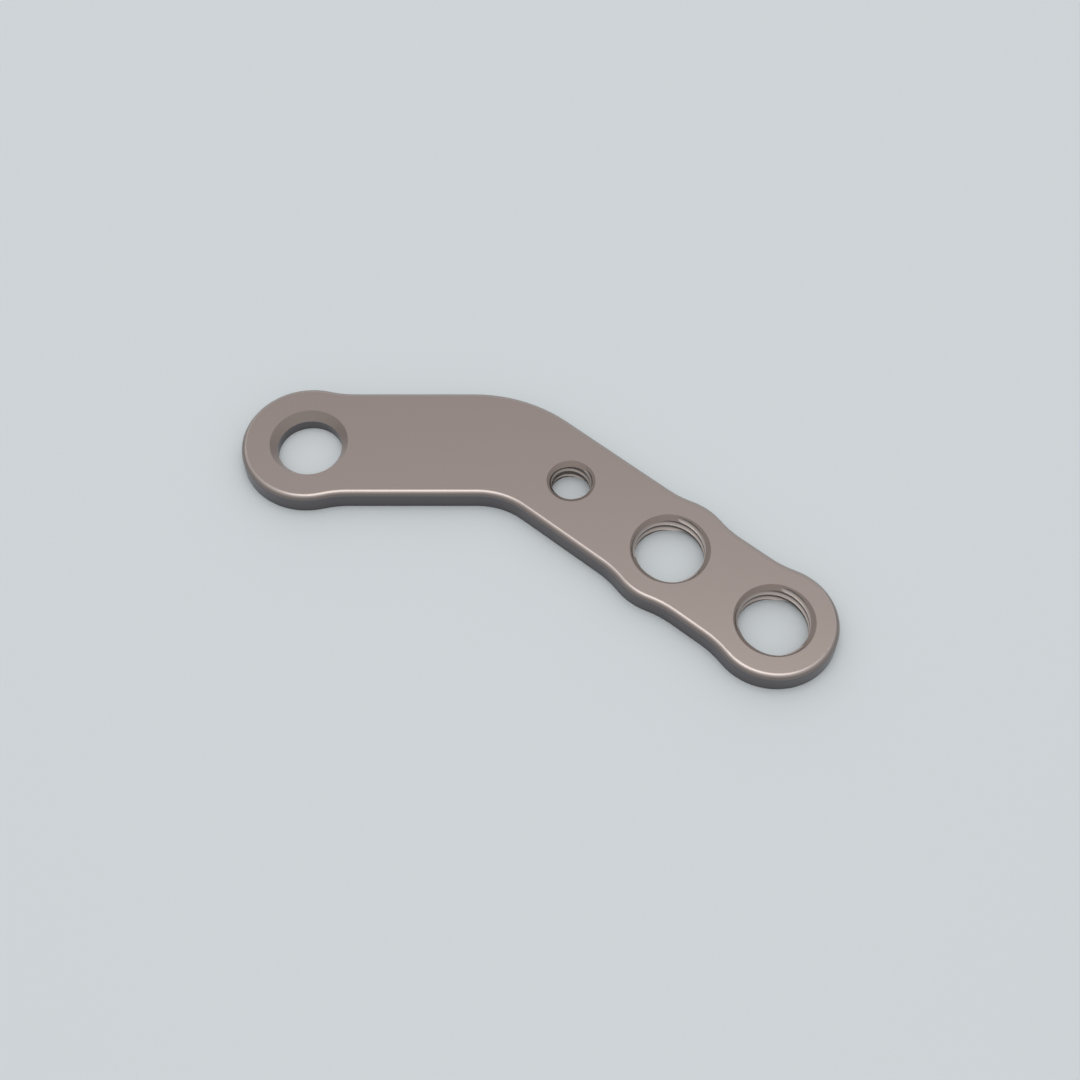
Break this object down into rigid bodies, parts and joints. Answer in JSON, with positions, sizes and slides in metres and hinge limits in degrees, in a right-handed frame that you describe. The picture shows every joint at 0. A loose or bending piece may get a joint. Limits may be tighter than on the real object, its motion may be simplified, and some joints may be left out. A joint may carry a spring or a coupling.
{
  "type": "orthopedic bone plate",
  "caption": "Flat bent bone plate with a countersunk screw hole at one end and threaded locking holes along the other arm.",
  "frame": {"origin": "on the axis of the countersunk hole, in the plane of the underside", "axes": "+X along the first arm towards the elbow, +Z from the underside to the face that the screws go in by"},
  "size_m": [0.0378, 0.0216, 0.0014],
  "materials": {
    "metal": "satin, fine blasted, warm grey implant titanium"
  },
  "bodies": {
    "root": {"plate": "metal"}
  },
  "joints": []
}
